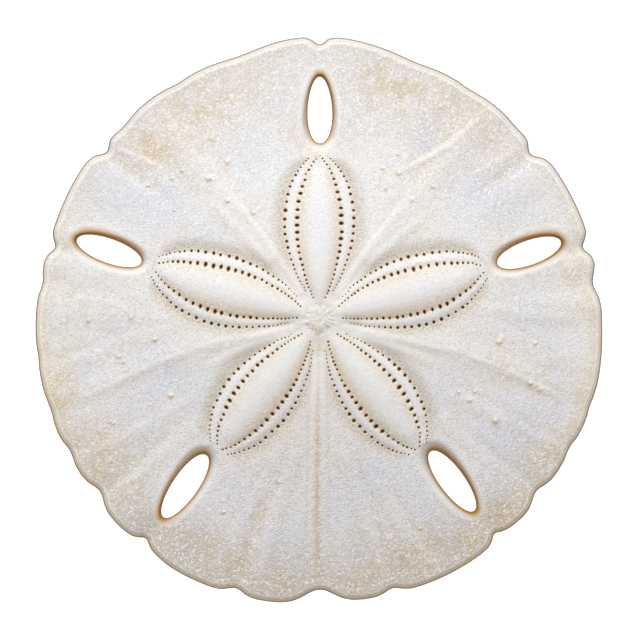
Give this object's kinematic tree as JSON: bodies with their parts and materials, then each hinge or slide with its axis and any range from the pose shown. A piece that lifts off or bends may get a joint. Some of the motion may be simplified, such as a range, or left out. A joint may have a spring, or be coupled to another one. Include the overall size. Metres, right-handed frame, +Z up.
{
  "type": "sand dollar",
  "caption": "Bleached keyhole sand dollar shell: thin scalloped disc with a low dome, raised petals marked by rows of pores, and slots through its rim.",
  "frame": {"origin": "on the resting plane, under the middle of the shell's outline", "axes": "+Z up out of the petal side; +Y towards the front of the animal, along the single front petal; +X to the right seen from above"},
  "size_m": [0.0902, 0.09, 0.0101],
  "materials": {
    "calcite": "dry, matt, sun-bleached calcite with fine grains, creamy and pale tan stains, and brown pores and slot walls"
  },
  "bodies": {
    "root": {"shell": "calcite"}
  },
  "joints": []
}
